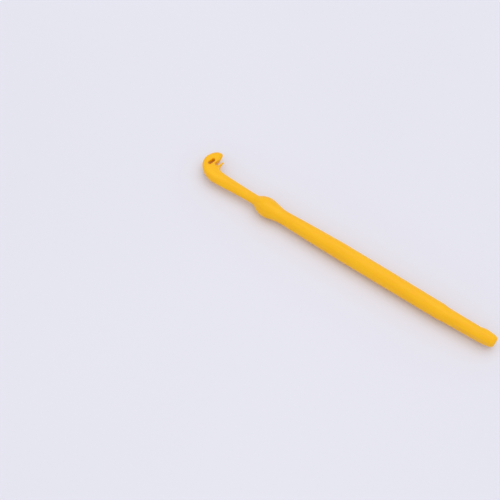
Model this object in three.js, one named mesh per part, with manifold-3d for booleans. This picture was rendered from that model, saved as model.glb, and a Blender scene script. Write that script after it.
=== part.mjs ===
// Loop tyer and disgorger: a hand tool for anglers, moulded in one piece of stiff plastic.
// A hooked head with an eye and a slanted mouth, a slim neck, a finger collar, a long handle
// and a blunt disgorger end follow one another along the shaft.  Millimetres, +Z up.
//
// X runs along the shaft from the head to the disgorger end, the hook points to +Y, and its
// plane lies level.  The tool rests on its collar: z = 0 is the collar's lowest point, and
// the origin is the middle of the tool's footprint.

import * as THREE from "three";
import { mergeVertices } from "three/addons/utils/BufferGeometryUtils.js";
import Module from "manifold-3d";

// ---- driving dimensions -------------------------------------------------------------------

const TOOL_LENGTH = 125;

// Stations along the shaft, counted from the outermost point of the head.
const HEAD_END = 9.8;
const NECK_END = 26;
const COLLAR_END = 38.4;
const HANDLE_END = 104.6;
const SHANK_END = 118.5;

// Head, in its own plane: x from the outermost point, y from the shaft's axis.
const HEAD_THICKNESS = 3.8;
const HEAD_EDGE_ROUNDING = 0.7;
const HEEL_X = 8.2; // where the underside starts to curve up
const BACK = { x: 0, y: 4.2 }; // outermost point of the head
const CROWN = { x: 3.9, y: 9.2 };
const BEAK_FRONT = { x: 5.3, y: 6.9 };
const SPUR_TIP = { x: 7.15, y: 6.45 };
const SPUR_FOOT = { x: 7.15, y: 4.0 };

// Control points, [x1, y1, x2, y2], of the curves that join them.
const OUTLINE_CONTROLS = {
  heelToBack: [4.3, -2.62, BACK.x, 0],
  backToCrown: [BACK.x, 6.1, 1.6, CROWN.y],
  crownToBeak: [4.8, CROWN.y, 5.25, 8.2],
  tipToFoot: [6.95, 5.8, 6.95, 4.9],
  footToNeck: [7.4, 3.1, 8.4, 2.34],
};

// The eye is a closed slot through the hook, and the mouth is an open one beside it.
// Each starts at its lower end; the angle is measured from the shaft's axis.
const EYE = { x: 3.2, y: 2.7, length: 1.8, radius: 0.6, angle: THREE.MathUtils.degToRad(80) };
const MOUTH = { x: 5.5, y: 3.8, length: 6, radius: 0.58, angle: THREE.MathUtils.degToRad(80) };

const NECK_HEAD_RADIUS = 2.48;
const NECK_MIDDLE_RADIUS = 2.14;
const NECK_COLLAR_RADIUS = 1.9;
const NECK_FLATTENING = 0.84; // the neck's thickness as a share of its width
const NECK_OFFSET = { start: -0.14, end: 0 }; // its centre from the shaft's axis, along Y
const COLLAR_RADIUS = 3.7;
const WAIST_RADIUS = 2.6;
const HANDLE_RADIUS = 3.12;
const HANDLE_END_RADIUS = 2.95;

// The collar is a bead for the fingers: a steep shoulder towards the head, a long fall to
// the waist.  Pairs of [distance from the neck, radius].
const COLLAR_PROFILE = [
  [0, NECK_COLLAR_RADIUS],
  [1.6, 2.9],
  [3.2, 3.56],
  [4.8, COLLAR_RADIUS],
  [7.8, 3.26],
  [10.2, 2.74],
  [COLLAR_END - NECK_END, WAIST_RADIUS],
];

// Pairs of [distance from the collar, radius].
const HANDLE_PROFILE = [
  [0, WAIST_RADIUS],
  [10, 2.86],
  [24, HANDLE_RADIUS],
  [42, 3.1],
  [HANDLE_END - COLLAR_END, HANDLE_END_RADIUS],
];

// The shank is thinner than the handle, and the tip steps out again on the hook's side.
const SHANK_RADIUS = { start: 2.74, end: 2.52 };
const SHANK_OFFSET = { start: -0.02, end: 0.18 };
const TIP_RADIUS = 2.7;
const TIP_TAPER = 0.18; // lost between the ramp and the nose
const TIP_NOSE_RADIUS = 2.28;
const TIP_FACE_RADIUS = 1.75;
const TIP_OFFSET = { start: 0.43, end: 0.6 };
const TIP_RISE_LENGTH = 1.1; // ramp from the shank up to the tip's full radius
const TIP_NOSE_LENGTH = 2.6; // rounded nose before the end face
const TIP_NOSE_EDGE = 0.9; // of it, the last and most rounded length

const SIDES = 48; // of every round section
const CURVE_STEPS = 14; // along each curve of the head's outline

// ---- colour -------------------------------------------------------------------------------

const YELLOW_PLASTIC = { color: 0xfab81a, roughness: 0.42, metalness: 0 };

// ---- solids -------------------------------------------------------------------------------

const wasm = await Module();
wasm.setup();

/** A closed geometry as a manifold-3d solid. */
function solidOf(geometry) {
  const bare = geometry.clone();
  bare.deleteAttribute("normal");
  bare.deleteAttribute("uv");
  const merged = mergeVertices(bare, 1e-5);
  return new wasm.Manifold(
    new wasm.Mesh({
      numProp: 3,
      vertProperties: new Float32Array(merged.attributes.position.array),
      triVerts: new Uint32Array(merged.index.array),
    }),
  );
}

/** A manifold-3d solid as a geometry. */
function geometryOf(solid) {
  const mesh = solid.getMesh();
  const geometry = new THREE.BufferGeometry();
  geometry.setAttribute("position", new THREE.BufferAttribute(mesh.vertProperties, 3));
  geometry.setIndex(new THREE.BufferAttribute(mesh.triVerts, 1));
  geometry.computeVertexNormals();
  return geometry;
}

/** Extrudes a shape of the hook's plane by a thickness, centred on that plane. */
function plate(shape, thickness, bevel = 0) {
  const geometry = new THREE.ExtrudeGeometry(shape, {
    depth: thickness - 2 * bevel,
    bevelEnabled: bevel > 0,
    bevelThickness: bevel,
    bevelSize: bevel,
    bevelOffset: -bevel,
    bevelSegments: 4,
    curveSegments: CURVE_STEPS,
  });
  geometry.translate(0, 0, bevel - thickness / 2);
  return solidOf(geometry);
}

/** A box over the whole head between two values of y, which ends where the neck begins. */
function headBox(yLow, yHigh) {
  const xLow = -5;
  const box = new THREE.BoxGeometry(HEAD_END - xLow, yHigh - yLow, 2 * HEAD_THICKNESS);
  box.translate((HEAD_END + xLow) / 2, (yLow + yHigh) / 2, 0);
  return solidOf(box);
}

/**
 * A round length of the shaft.  Stations are [x, radius] pairs joined by a smooth curve.
 * flattening thins it across the hook's plane, and offset(x) moves its centre along Y.
 */
function shaftLength(stations, { steps, flattening = 1, offset = () => 0 }) {
  const curve = new THREE.SplineCurve(stations.map(([x, r]) => new THREE.Vector2(x, r)));
  const rim = curve.getPoints(steps).map((p) => new THREE.Vector2(p.y, p.x));
  const onAxis = (p) => new THREE.Vector2(0, p.y);
  const profile = [onAxis(rim[0]), ...rim, onAxis(rim[rim.length - 1])];
  const geometry = new THREE.LatheGeometry(profile, SIDES);
  geometry.rotateZ(-Math.PI / 2); // the lathe's axis turns from Y to X
  const position = geometry.attributes.position;
  for (let i = 0; i < position.count; i++) {
    position.setY(i, position.getY(i) + offset(position.getX(i)));
    position.setZ(i, position.getZ(i) * flattening);
  }
  return geometryOf(solidOf(geometry));
}

// ---- head ---------------------------------------------------------------------------------

/** The head's outline before the eye and the mouth are cut. */
function headOutline() {
  const pastNeck = HEAD_END + 2;
  const neckLow = NECK_OFFSET.start - NECK_HEAD_RADIUS;
  const neckHigh = NECK_OFFSET.start + NECK_HEAD_RADIUS;
  const { heelToBack, backToCrown, crownToBeak, tipToFoot, footToNeck } = OUTLINE_CONTROLS;
  const shape = new THREE.Shape();
  shape.moveTo(pastNeck, neckLow);
  shape.lineTo(HEEL_X, neckLow);
  shape.bezierCurveTo(...heelToBack, BACK.x, BACK.y);
  shape.bezierCurveTo(...backToCrown, CROWN.x, CROWN.y);
  shape.bezierCurveTo(...crownToBeak, BEAK_FRONT.x, BEAK_FRONT.y);
  shape.lineTo(SPUR_TIP.x, SPUR_TIP.y);
  shape.bezierCurveTo(...tipToFoot, SPUR_FOOT.x, SPUR_FOOT.y);
  shape.bezierCurveTo(...footToNeck, HEAD_END, neckHigh);
  shape.lineTo(pastNeck, neckHigh);
  return shape;
}

/** A cutter for a slot with round ends, right through the head. */
function slotCutter({ x, y, length, radius, angle }) {
  const quarter = Math.PI / 2;
  const far = { x: x + length * Math.cos(angle), y: y + length * Math.sin(angle) };
  const shape = new THREE.Shape();
  shape.absarc(x, y, radius, angle + quarter, angle + 3 * quarter, false);
  shape.absarc(far.x, far.y, radius, angle - quarter, angle + quarter, false);
  return plate(shape, HEAD_THICKNESS * 2);
}

/** The head's three sections: level with the mouth's lower end, the mouth parts two prongs. */
function headSections() {
  const head = plate(headOutline(), HEAD_THICKNESS, HEAD_EDGE_ROUNDING)
    .subtract(slotCutter(EYE))
    .subtract(slotCutter(MOUTH));
  const beyond = 20; // past the head on either side
  const [beak, spur] = head
    .intersect(headBox(MOUTH.y, beyond))
    .decompose()
    .sort((a, b) => a.boundingBox().min[0] - b.boundingBox().min[0]);
  return {
    head_bend: geometryOf(head.intersect(headBox(-beyond, MOUTH.y))),
    hook_beak: geometryOf(beak),
    line_spur: geometryOf(spur),
  };
}

// ---- shaft --------------------------------------------------------------------------------

/** A centre line that runs straight from one offset to another. */
function ramp(xStart, xEnd, { start, end }) {
  return (x) => THREE.MathUtils.mapLinear(x, xStart, xEnd, start, end);
}

/** Stations given by their distance from xStart. */
function from(xStart, profile) {
  return profile.map(([distance, radius]) => [xStart + distance, radius]);
}

function neck() {
  const stations = [
    [HEAD_END, NECK_HEAD_RADIUS],
    [(HEAD_END + NECK_END) / 2, NECK_MIDDLE_RADIUS],
    [NECK_END, NECK_COLLAR_RADIUS],
  ];
  const offset = ramp(HEAD_END, NECK_END, NECK_OFFSET);
  return shaftLength(stations, { steps: 8, flattening: NECK_FLATTENING, offset });
}

function collar() {
  return shaftLength(from(NECK_END, COLLAR_PROFILE), { steps: 24 });
}

function handle() {
  return shaftLength(from(COLLAR_END, HANDLE_PROFILE), { steps: 20 });
}

function shank() {
  const stations = [
    [HANDLE_END, SHANK_RADIUS.start],
    [SHANK_END, SHANK_RADIUS.end],
  ];
  return shaftLength(stations, { steps: 8, offset: ramp(HANDLE_END, SHANK_END, SHANK_OFFSET) });
}

function tip() {
  const top = SHANK_END + TIP_RISE_LENGTH;
  const stations = [
    [SHANK_END, SHANK_RADIUS.end],
    [top, TIP_RADIUS],
    [TOOL_LENGTH - TIP_NOSE_LENGTH, TIP_RADIUS - TIP_TAPER],
    [TOOL_LENGTH - TIP_NOSE_EDGE, TIP_NOSE_RADIUS],
    [TOOL_LENGTH, TIP_FACE_RADIUS],
  ];
  const rise = ramp(SHANK_END, top, { start: SHANK_OFFSET.end, end: TIP_OFFSET.start });
  const run = ramp(top, TOOL_LENGTH, TIP_OFFSET);
  return shaftLength(stations, { steps: 16, offset: (x) => (x < top ? rise(x) : run(x)) });
}

// ---- assembly -----------------------------------------------------------------------------

const SECTIONS = {
  ...headSections(),
  neck: neck(),
  finger_collar: collar(),
  handle: handle(),
  disgorger_shank: shank(),
  disgorger_tip: tip(),
};

const tool = new THREE.Group();
for (const [name, geometry] of Object.entries(SECTIONS)) {
  const mesh = new THREE.Mesh(geometry, new THREE.MeshStandardMaterial(YELLOW_PLASTIC));
  mesh.name = name;
  tool.add(mesh);
}
const bounds = new THREE.Box3().setFromObject(tool);
const middle = bounds.getCenter(new THREE.Vector3());
tool.position.set(-middle.x, -middle.y, -bounds.min.z);

export default tool;
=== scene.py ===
"""Loop tyer and disgorger: the one-piece plastic moulding, with its floor, light and camera.

The CAD holds the moulding as sections that meet face to face.  Here it is one continuous
skin: a field says roughly how far a point is from the plastic, and a surface net meshes it.
The field works in millimetres, with x along the shaft from the head's far edge, and y
(towards the hook) and z from the axis of the collar in the CAD.  The stage and the materials
work in metres.
"""

import math

import bpy
import numpy as np
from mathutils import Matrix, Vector


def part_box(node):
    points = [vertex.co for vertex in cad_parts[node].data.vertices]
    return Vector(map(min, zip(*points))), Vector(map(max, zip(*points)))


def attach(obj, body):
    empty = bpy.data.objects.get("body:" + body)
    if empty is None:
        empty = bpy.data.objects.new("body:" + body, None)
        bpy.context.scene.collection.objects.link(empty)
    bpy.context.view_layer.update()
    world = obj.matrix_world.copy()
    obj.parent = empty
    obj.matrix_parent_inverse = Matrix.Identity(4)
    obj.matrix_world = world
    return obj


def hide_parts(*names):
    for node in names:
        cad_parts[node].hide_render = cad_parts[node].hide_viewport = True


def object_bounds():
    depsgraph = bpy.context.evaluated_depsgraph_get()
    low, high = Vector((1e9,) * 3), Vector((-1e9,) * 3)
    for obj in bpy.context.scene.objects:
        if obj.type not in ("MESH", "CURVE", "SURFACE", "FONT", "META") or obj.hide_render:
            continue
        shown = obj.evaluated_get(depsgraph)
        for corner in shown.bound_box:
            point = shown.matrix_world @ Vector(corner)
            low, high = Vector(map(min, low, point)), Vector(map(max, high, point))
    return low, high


MM = 0.001

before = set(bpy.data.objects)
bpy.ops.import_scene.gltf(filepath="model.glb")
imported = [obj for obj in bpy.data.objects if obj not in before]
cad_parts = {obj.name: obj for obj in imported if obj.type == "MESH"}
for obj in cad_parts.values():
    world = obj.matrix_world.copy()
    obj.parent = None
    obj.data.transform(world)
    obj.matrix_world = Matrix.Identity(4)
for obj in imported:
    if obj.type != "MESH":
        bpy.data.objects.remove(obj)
cad_low, cad_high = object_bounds()


# ---- places taken from the frame ------------------------------------------------------------

def span(node):
    """Where a CAD node starts and ends along the shaft, in millimetres from the head."""
    low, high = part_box(node)
    return (low.x - cad_low.x) / MM, (high.x - cad_low.x) / MM


collar_low, collar_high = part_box("finger_collar")
COLLAR_CENTRE = (collar_low + collar_high) / 2
ORIGIN = Vector((cad_low.x, COLLAR_CENTRE.y, COLLAR_CENTRE.z))  # the field's origin

TOOL_LENGTH = (cad_high.x - cad_low.x) / MM
HEAD_HEIGHT = (cad_high.y - COLLAR_CENTRE.y) / MM
COLLAR_RADIUS = (collar_high.z - collar_low.z) / 2 / MM
NECK_START, NECK_END = span("neck")
COLLAR_END = span("finger_collar")[1]
HANDLE_END = span("handle")[1]
SHANK_END = span("disgorger_shank")[1]


# ---- shape ----------------------------------------------------------------------------------

# Stations of the shaft: x, half width (in the hook's plane), half thickness, shift along y.
SHAFT = (
    (NECK_START - 3, 2.52, 2.04, -0.14),
    (NECK_START, 2.48, 1.99, -0.14),
    (NECK_START + 3, 2.38, 1.95, -0.12),
    (NECK_START + 6, 2.18, 1.88, -0.04),
    (NECK_END - 3, 1.92, 1.70, 0.0),
    (NECK_END + 0.1, 1.94, 1.80, 0.0),
    (NECK_END + 1.7, 2.90, 2.88, -0.08),
    (NECK_END + 3.4, 3.52, 3.56, -0.18),
    (NECK_END + 4.9, COLLAR_RADIUS, COLLAR_RADIUS, -0.2),
    (NECK_END + 6.3, 3.58, 3.58, -0.2),
    (NECK_END + 8.5, 3.08, 3.08, -0.22),
    (NECK_END + 10.6, 2.66, 2.66, -0.26),
    (COLLAR_END, 2.54, 2.54, -0.26),
    (COLLAR_END + 10, 2.84, 2.84, -0.12),
    (COLLAR_END + 24, 3.12, 3.12, 0.0),
    (COLLAR_END + 42, 3.10, 3.10, 0.0),
    (HANDLE_END - 0.4, 2.95, 2.95, 0.0),
    (HANDLE_END + 0.6, 2.74, 2.74, -0.02),
    (SHANK_END - 0.2, 2.52, 2.52, 0.18),
    (SHANK_END + 1.2, 2.72, 2.72, 0.43),
    (TOOL_LENGTH - 3.4, 2.58, 2.58, 0.50),
    (TOOL_LENGTH - 1.6, 2.36, 2.36, 0.55),
    (TOOL_LENGTH + 0.6, 1.80, 1.80, 0.60),
)
STATION_SOFTNESS = 0.45  # how far the mould's fillets blur one station into the next
BLUR_REACH = 4 * STATION_SOFTNESS  # beyond this the blur counts for nothing
PROFILE_STEP = 0.1
PROFILE_MARGIN = 2  # how far the profiles run past both ends
END_ROUNDING = 1.2

# A shallow flat along the disgorger, on the side away from the hook, begins with a small step.
FLAT_START = HANDLE_END + 5.4
FLAT_DEPTH_Y = 2.36  # from the axis, where the flat begins
FLAT_SLOPE = 0.045
FLAT_STEP_STEEPNESS = 1.2
FLAT_EDGE_ROUNDING = 0.15

# The head's outline in the hook's plane: where its curves meet, then the four points of each curve.
NECK_LOW = (8.2, -2.58)
NECK_HIGH = (NECK_START, 2.36)
BACK = (0.0, 4.2)
CROWN = (3.9, HEAD_HEIGHT)
BEAK = (5.3, 6.9)
SPUR_TIP = (7.25, 6.5)
SPUR_FOOT = (7.2, 4.0)
HOOK_CURVES = (
    (NECK_LOW, (4.3, -2.62), (0.0, 0.0), BACK),
    (BACK, (0.0, 6.1), (1.6, HEAD_HEIGHT), CROWN),
    (CROWN, (4.8, HEAD_HEIGHT), (5.25, 8.2), BEAK),
)
SPUR_CURVES = (
    (SPUR_TIP, (7.1, 5.8), (7.05, 4.9), SPUR_FOOT),
    (SPUR_FOOT, (7.35, 3.1), (8.4, 2.4), NECK_HIGH),
)
CURVE_STEPS = 12
OUTLINE_END = {"x": NECK_START + 6, "half_width": 2.16}  # inside the neck, past the head's fade

HEAD_HALF_THICKNESS = 1.9
HEAD_ROUNDING = 1.6
HEAD_TAPER = 0.09  # how fast the half thickness falls towards the crown
TAPER_START_Y = 2.0
MOUTH_TAPER = {"amount": 0.24, "start_x": 4.0, "ramp_y": 2.5}  # the prongs thin towards the mouth
HEAD_FADE = (NECK_START - 2.3, NECK_START + 3)  # x where the slab of the head turns into the neck

# Slots through the head.  Each has its own soft edge, and the mouth's leaves round prongs.
EYE = {"start": (3.2, 2.7), "end": (3.5, 4.5), "radius": 0.6}
EYE_ROUNDING = 0.6
MOUTH = {"start": (5.45, 3.8), "end": (6.4, 9.2), "radius": 0.62}
MOUTH_ROUNDING = 0.5

PARTING_RIDGE = {"height": 0.045, "width": 0.16}


def bezier(a, b, c, d):
    """Points on a cubic curve from a towards d, without d itself."""
    t = np.linspace(0, 1, CURVE_STEPS, endpoint=False)[:, None]
    a, b, c, d = (np.array(p, float) for p in (a, b, c, d))
    return (1 - t) ** 3 * a + 3 * (1 - t) ** 2 * t * b + 3 * (1 - t) * t ** 2 * c + t ** 3 * d


def head_outline():
    """The head's outline in the hook's plane, from under the neck round to above it."""
    hook = [bezier(*curve) for curve in HOOK_CURVES]
    spur = [bezier(*curve) for curve in SPUR_CURVES]
    end_x, end_y = OUTLINE_END["x"], OUTLINE_END["half_width"]
    return np.concatenate([*hook, [BEAK], *spur, [NECK_HIGH, (end_x, end_y), (end_x, -end_y)]])


OUTLINE = head_outline()


def outline_distance(x, y):
    """Signed distance from points to the head's outline: negative inside it."""
    nearest = np.full(x.shape, np.inf)
    inside = np.zeros(x.shape, bool)
    for (ax, ay), (bx, by) in zip(OUTLINE, np.roll(OUTLINE, -1, axis=0)):
        ex, ey = bx - ax, by - ay
        along = np.clip(((x - ax) * ex + (y - ay) * ey) / (ex * ex + ey * ey), 0, 1)
        nearest = np.minimum(nearest, np.hypot(x - ax - along * ex, y - ay - along * ey))
        if ay != by:
            crosses = (ay > y) != (by > y)
            inside ^= crosses & (x < ax + (y - ay) / (by - ay) * ex)
    return np.where(inside, -nearest, nearest)


def capsule_distance(x, y, start, end, radius):
    """Signed distance to a slot with round ends, drawn in the hook's plane."""
    ex, ey = end[0] - start[0], end[1] - start[1]
    along = np.clip(((x - start[0]) * ex + (y - start[1]) * ey) / (ex * ex + ey * ey), 0, 1)
    return np.hypot(x - start[0] - along * ex, y - start[1] - along * ey) - radius


def soft_min(a, b, blend):
    """The smaller of two fields, with a fillet of about that size where they cross."""
    share = np.clip(0.5 + 0.5 * (b - a) / blend, 0, 1)
    return b + (a - b) * share - blend * share * (1 - share)


def soft_max(a, b, blend):
    """The larger of two fields, with a rounded edge of about that size where they cross."""
    return -soft_min(-a, -b, blend)


def shaft_profiles():
    """Half width, half thickness and shift at closely spaced x, softened like a mould's fillets."""
    x = np.arange(SHAFT[0][0] - PROFILE_MARGIN, TOOL_LENGTH + PROFILE_MARGIN, PROFILE_STEP)
    stations = np.array(SHAFT)
    reach = np.arange(-BLUR_REACH, BLUR_REACH + PROFILE_STEP / 2, PROFILE_STEP)
    kernel = np.exp(-0.5 * (reach / STATION_SOFTNESS) ** 2)
    kernel /= kernel.sum()
    padding = len(kernel) // 2
    columns = []
    for column in stations.T[1:]:
        values = np.pad(np.interp(x, stations[:, 0], column), padding, mode="edge")
        columns.append(np.convolve(values, kernel, mode="valid"))
    return x, columns


PROFILE_X, (HALF_WIDTH, HALF_THICKNESS, SHIFT) = shaft_profiles()


def shaft_field(x, y, z):
    """The shaft from the neck to the end: oval sections, cut by the flat and the square end."""
    profiles = (HALF_WIDTH, HALF_THICKNESS, SHIFT)
    width, thickness, shift = (np.interp(x, PROFILE_X, profile) for profile in profiles)
    round_part = (np.hypot((y - shift) / width, z / thickness) - 1) * np.sqrt(width * thickness)
    past_start = x - FLAT_START
    flat_y = np.where(past_start > 0, FLAT_DEPTH_Y - FLAT_SLOPE * past_start,
                      FLAT_DEPTH_Y - FLAT_STEP_STEEPNESS * past_start)
    round_part = soft_max(round_part, -y - flat_y, FLAT_EDGE_ROUNDING)
    return soft_max(round_part, x - TOOL_LENGTH, END_ROUNDING)


def head_field(x, y, z):
    """The head without its slots: the outline as a plate with rounded edges, thinner at the prongs."""
    inset = np.maximum(outline_distance(x, y) + HEAD_ROUNDING, 0)
    rise = np.maximum(y - TAPER_START_Y, 0)
    past_start = np.maximum(x - MOUTH_TAPER["start_x"], 0)
    to_mouth = past_start * np.minimum(rise / MOUTH_TAPER["ramp_y"], 1)
    half_thickness = HEAD_HALF_THICKNESS - HEAD_TAPER * rise - MOUTH_TAPER["amount"] * to_mouth
    above = np.maximum(np.abs(z) - half_thickness + HEAD_ROUNDING, 0)
    return np.hypot(inset, above) - HEAD_ROUNDING


def tool_field(x, y, z):
    """Roughly the distance from the plastic's skin in millimetres: negative inside it."""
    field = shaft_field(x, y, z)
    fade_start, fade_end = HEAD_FADE
    near_head = x < fade_end
    hx, hy, hz = x[near_head], y[near_head], z[near_head]
    share = np.clip((hx - fade_start) / (fade_end - fade_start), 0, 1)
    share = share ** 2 * (3 - 2 * share)
    head = head_field(hx, hy, hz) * (1 - share) + field[near_head] * share
    for slot, rounding in ((EYE, EYE_ROUNDING), (MOUTH, MOUTH_ROUNDING)):
        head = soft_max(head, -capsule_distance(hx, hy, **slot), rounding)
    field[near_head] = head
    return field - PARTING_RIDGE["height"] * np.exp(-((z / PARTING_RIDGE["width"]) ** 2))


# ---- meshing --------------------------------------------------------------------------------

CELL = 0.15  # across the shaft, and along the head
COLLAR_CELL = 0.22  # the other cells are lengths along the shaft
HANDLE_CELL = 0.5
TIP_CELL = 0.2
GRID_MARGIN = 0.6
GRID_OVERLAP = 2  # the finer cells run this far into the neck and the handle
NUDGE = 0.02  # the field is read this far to either side to find its slope
LEAST_STEEPNESS = 0.25  # keeps a step short where the field is nearly flat
CORNERS = [(i, j, k) for i in (0, 1) for j in (0, 1) for k in (0, 1)]
CELL_EDGES = [
    (a, b) for a in CORNERS for b in CORNERS
    if a < b and sum(abs(p - q) for p, q in zip(a, b)) == 1
]


def grid_lines():
    """Grid planes along x, y and z: close together at the head, wider along the handle."""
    neck_start, handle_end = NECK_START + GRID_OVERLAP, HANDLE_END - GRID_OVERLAP
    stretches = (
        (-GRID_MARGIN, neck_start, CELL),
        (neck_start, COLLAR_END, COLLAR_CELL),
        (COLLAR_END, handle_end, HANDLE_CELL),
        (handle_end, TOOL_LENGTH + GRID_MARGIN, TIP_CELL),
    )
    xs = np.concatenate([np.arange(*stretch) for stretch in stretches])
    ys = np.arange(-COLLAR_RADIUS - GRID_MARGIN, HEAD_HEIGHT + GRID_MARGIN, CELL)
    zs = np.arange(-COLLAR_RADIUS - GRID_MARGIN, COLLAR_RADIUS + GRID_MARGIN, CELL)
    far_enough = np.append(True, np.diff(xs) > CELL / 3)  # drops the slivers between stretches
    return xs[far_enough], ys, zs


def corner_view(values, corner):
    """The grid values at one corner of every cell."""
    return values[tuple(slice(c, n - 1 + c) for c, n in zip(corner, values.shape))]


def net_points(values, lines, active):
    """One point per crossed cell: the mean of where the skin crosses the cell's edges."""
    total = np.zeros((active.sum(), 3))
    count = np.zeros(active.sum())
    index = np.argwhere(active)
    for a, b in CELL_EDGES:
        va, vb = corner_view(values, a)[active], corner_view(values, b)[active]
        crossed = (va < 0) != (vb < 0)
        share = np.where(crossed, va / np.where(crossed, va - vb, 1), 0)
        pa = np.stack([lines[axis][index[:, axis] + a[axis]] for axis in range(3)], axis=1)
        pb = np.stack([lines[axis][index[:, axis] + b[axis]] for axis in range(3)], axis=1)
        total += np.where(crossed[:, None], pa + (pb - pa) * share[:, None], 0)
        count += crossed
    return total / count[:, None]


def net_faces(values, number):
    """One quad around every grid edge that passes through the skin, facing out."""
    inside = values < 0
    faces = []
    for axis in range(3):
        u, v = (axis + 1) % 3, (axis + 2) % 3
        lower = [slice(1, -1)] * 3
        lower[axis] = slice(0, -1)
        upper = list(lower)
        upper[axis] = slice(1, None)
        start, end = inside[tuple(lower)], inside[tuple(upper)]
        at = np.argwhere(start != end) + [0 if i == axis else 1 for i in range(3)]
        leaving = start[start != end]
        around = []
        for du, dv in ((-1, -1), (0, -1), (0, 0), (-1, 0)):
            cell = at.copy()
            cell[:, u] += du
            cell[:, v] += dv
            around.append(number[tuple(cell.T)])
        quads = np.stack(around, axis=1)
        quads[~leaving] = quads[~leaving][:, ::-1]
        faces.append(quads)
    return np.concatenate(faces)


def settle_on_skin(points, rounds=3):
    """Moves each point along the field's slope towards its skin, in a few short steps."""
    for _ in range(rounds):
        value = tool_field(*points.T)
        slope = np.empty_like(points)
        for axis in range(3):
            step = np.zeros(3)
            step[axis] = NUDGE
            rise = tool_field(*(points + step).T) - tool_field(*(points - step).T)
            slope[:, axis] = rise / (2 * NUDGE)
        steepness = np.maximum((slope ** 2).sum(axis=1), LEAST_STEEPNESS)
        move = -(value / steepness)[:, None] * slope
        points = points + np.clip(move, -CELL / 2, CELL / 2)
    return points


def moulding():
    """The whole tool as one closed mesh."""
    lines = grid_lines()
    grid = np.meshgrid(*lines, indexing="ij")
    values = tool_field(*grid)
    low = np.minimum.reduce([corner_view(values, c) for c in CORNERS])
    high = np.maximum.reduce([corner_view(values, c) for c in CORNERS])
    active = (low < 0) & (high >= 0)
    number = np.full(active.shape, -1)
    number[active] = np.arange(active.sum())
    points = settle_on_skin(net_points(values, lines, active))
    mesh = bpy.data.meshes.new("loop_tyer")
    places = points * MM + np.array(ORIGIN)
    mesh.from_pydata(places.tolist(), [], net_faces(values, number).tolist())
    mesh.shade_smooth()
    tool = bpy.data.objects.new("loop_tyer", mesh)
    bpy.context.scene.collection.objects.link(tool)
    return tool


# ---- materials ------------------------------------------------------------------------------

NOISE_MIDDLE = (0.3, 0.7)  # where nearly all of a noise's values lie

PLASTIC_DEEP = (0.94, 0.468, 0.001, 1)
PLASTIC_LIGHT = (0.98, 0.515, 0.003, 1)
PLASTIC_ROUGHNESS = {"low": 0.25, "high": 0.32}
SCUFF_ROUGHNESS = {"low": 0.0, "high": 0.10}  # added to the plastic's own
RIPPLE_BUMP = {"distance": 0.06 * MM, "strength": 0.5}
GRAIN_BUMP = {"distance": 0.012 * MM, "strength": 0.6}
PLASTIC_VALUES = {
    "Subsurface Weight": 0.12,
    "Subsurface Radius": (1.0, 0.45, 0.08),
    "Subsurface Scale": 0.9 * MM,
    "IOR": 1.49,
    "Specular IOR Level": 0.27,
}

FLOOR_DEEP = (0.755, 0.747, 0.796, 1)
FLOOR_LIGHT = (0.785, 0.777, 0.826, 1)
FLOOR_ROUGHNESS = 0.75


def new_material(name):
    material = bpy.data.materials.new(name)
    material.use_nodes = True
    return material, material.node_tree.nodes, material.node_tree.links


def noise(nodes, links, stretch, scale, detail=3.0):
    """A noise texture in the object's own space, stretched by a factor for each axis."""
    coordinates = nodes.new("ShaderNodeTexCoord")
    mapping = nodes.new("ShaderNodeMapping")
    mapping.inputs["Scale"].default_value = stretch
    texture = nodes.new("ShaderNodeTexNoise")
    texture.inputs["Scale"].default_value = scale
    texture.inputs["Detail"].default_value = detail
    links.new(coordinates.outputs["Object"], mapping.inputs["Vector"])
    links.new(mapping.outputs["Vector"], texture.inputs["Vector"])
    return texture.outputs["Fac"]


def remap(nodes, links, value, low, high):
    """Maps a noise's middle range onto low to high."""
    node = nodes.new("ShaderNodeMapRange")
    node.inputs["From Min"].default_value, node.inputs["From Max"].default_value = NOISE_MIDDLE
    node.inputs["To Min"].default_value = low
    node.inputs["To Max"].default_value = high
    links.new(value, node.inputs["Value"])
    return node.outputs["Result"]


def colour_mix(nodes, links, factor, first, second):
    node = nodes.new("ShaderNodeMix")
    node.data_type = "RGBA"
    node.inputs["A"].default_value = first
    node.inputs["B"].default_value = second
    links.new(factor, node.inputs["Factor"])
    return node.outputs["Result"]


def bump(nodes, links, height, distance, strength, normal=None):
    node = nodes.new("ShaderNodeBump")
    node.inputs["Distance"].default_value = distance
    node.inputs["Strength"].default_value = strength
    links.new(height, node.inputs["Height"])
    if normal:
        links.new(normal, node.inputs["Normal"])
    return node.outputs["Normal"]


def yellow_plastic():
    """Stiff moulded plastic: faint flow streaks, a satin skin, a fine mould texture, scuffs."""
    material, nodes, links = new_material("yellow_plastic")
    shader = nodes["Principled BSDF"]
    streaks = noise(nodes, links, stretch=(1, 9, 9), scale=90)
    clouds = noise(nodes, links, stretch=(1, 1, 1), scale=260)
    grain = noise(nodes, links, stretch=(1, 1, 1), scale=4200, detail=4)
    scuffs = noise(nodes, links, stretch=(1, 14, 5), scale=700, detail=5)
    ripple = noise(nodes, links, stretch=(1, 2, 2), scale=180, detail=1)

    shade = remap(nodes, links, streaks, low=0, high=1)
    links.new(colour_mix(nodes, links, shade, PLASTIC_DEEP, PLASTIC_LIGHT), shader.inputs["Base Color"])
    roughness = nodes.new("ShaderNodeMath")
    roughness.operation = "ADD"
    links.new(remap(nodes, links, clouds, **PLASTIC_ROUGHNESS), roughness.inputs[0])
    links.new(remap(nodes, links, scuffs, **SCUFF_ROUGHNESS), roughness.inputs[1])
    links.new(roughness.outputs["Value"], shader.inputs["Roughness"])
    waviness = bump(nodes, links, ripple, **RIPPLE_BUMP)
    links.new(bump(nodes, links, grain, **GRAIN_BUMP, normal=waviness), shader.inputs["Normal"])
    for socket, value in PLASTIC_VALUES.items():
        shader.inputs[socket].default_value = value
    return material


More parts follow.
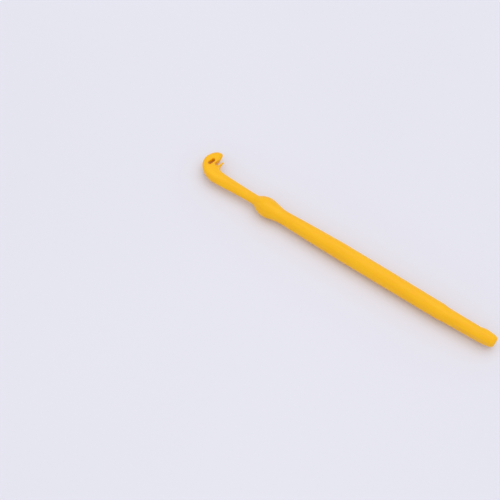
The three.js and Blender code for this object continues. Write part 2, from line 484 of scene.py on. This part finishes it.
def pale_floor():
    material, nodes, links = new_material("pale_floor")
    shader = nodes["Principled BSDF"]
    clouds = noise(nodes, links, stretch=(1, 1, 1), scale=3)
    shade = remap(nodes, links, clouds, low=0, high=1)
    links.new(colour_mix(nodes, links, shade, FLOOR_DEEP, FLOOR_LIGHT), shader.inputs["Base Color"])
    shader.inputs["Roughness"].default_value = FLOOR_ROUGHNESS
    return material


# ---- stage ----------------------------------------------------------------------------------

CAMERA_ELEVATION = math.radians(62)
CAMERA_AZIMUTH = math.radians(35.095)
CAMERA_DISTANCE = 0.38590
CAMERA_AIM = Vector((-0.02764, -0.01923, 0))
CAMERA_LENS = 77.18  # millimetres
CAMERA_CLIP_START = 0.01

FLOOR_SIZE = 3.0
KEY_LIGHT = {"place": (0.06, 0.22, 0.95), "size": 1.1, "watts": 3.2}
FILL_LIGHT = {"place": (-0.3, -0.6, 0.5), "size": 1.2, "watts": 0.35}
SKY_COLOUR = (0.93, 0.94, 1.0, 1)
SKY_STRENGTH = 0.83


def floor():
    half = FLOOR_SIZE / 2
    corners = [(-half, -half, 0), (half, -half, 0), (half, half, 0), (-half, half, 0)]
    mesh = bpy.data.meshes.new("floor")
    mesh.from_pydata(corners, [], [(0, 1, 2, 3)])
    mesh.materials.append(pale_floor())
    plane = bpy.data.objects.new("floor", mesh)
    bpy.context.scene.collection.objects.link(plane)


def soft_light(name, place, size, watts):
    data = bpy.data.lights.new(name, "AREA")
    data.size = size
    data.energy = watts
    light = bpy.data.objects.new(name, data)
    light.location = place
    light.rotation_euler = (-Vector(place)).to_track_quat("-Z", "Y").to_euler()
    bpy.context.scene.collection.objects.link(light)


def sky():
    world = bpy.data.worlds.new("sky")
    world.use_nodes = True
    background = world.node_tree.nodes["Background"]
    background.inputs["Color"].default_value = SKY_COLOUR
    background.inputs["Strength"].default_value = SKY_STRENGTH
    bpy.context.scene.world = world


def camera():
    flat = math.cos(CAMERA_ELEVATION)
    view = Vector((
        -math.sin(CAMERA_AZIMUTH) * flat,
        math.cos(CAMERA_AZIMUTH) * flat,
        -math.sin(CAMERA_ELEVATION),
    ))
    data = bpy.data.cameras.new("camera")
    data.lens = CAMERA_LENS
    data.clip_start = CAMERA_CLIP_START
    eye = bpy.data.objects.new("camera", data)
    eye.location = CAMERA_AIM - view * CAMERA_DISTANCE
    eye.rotation_euler = view.to_track_quat("-Z", "Y").to_euler()
    bpy.context.scene.collection.objects.link(eye)
    bpy.context.scene.camera = eye


camera()
sky()
soft_light("key_light", **KEY_LIGHT)
soft_light("fill_light", **FILL_LIGHT)
floor()
bpy.context.scene.view_settings.view_transform = "Standard"

# ---- the tool -------------------------------------------------------------------------------

tool = moulding()
tool.data.materials.append(yellow_plastic())
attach(tool, "root")
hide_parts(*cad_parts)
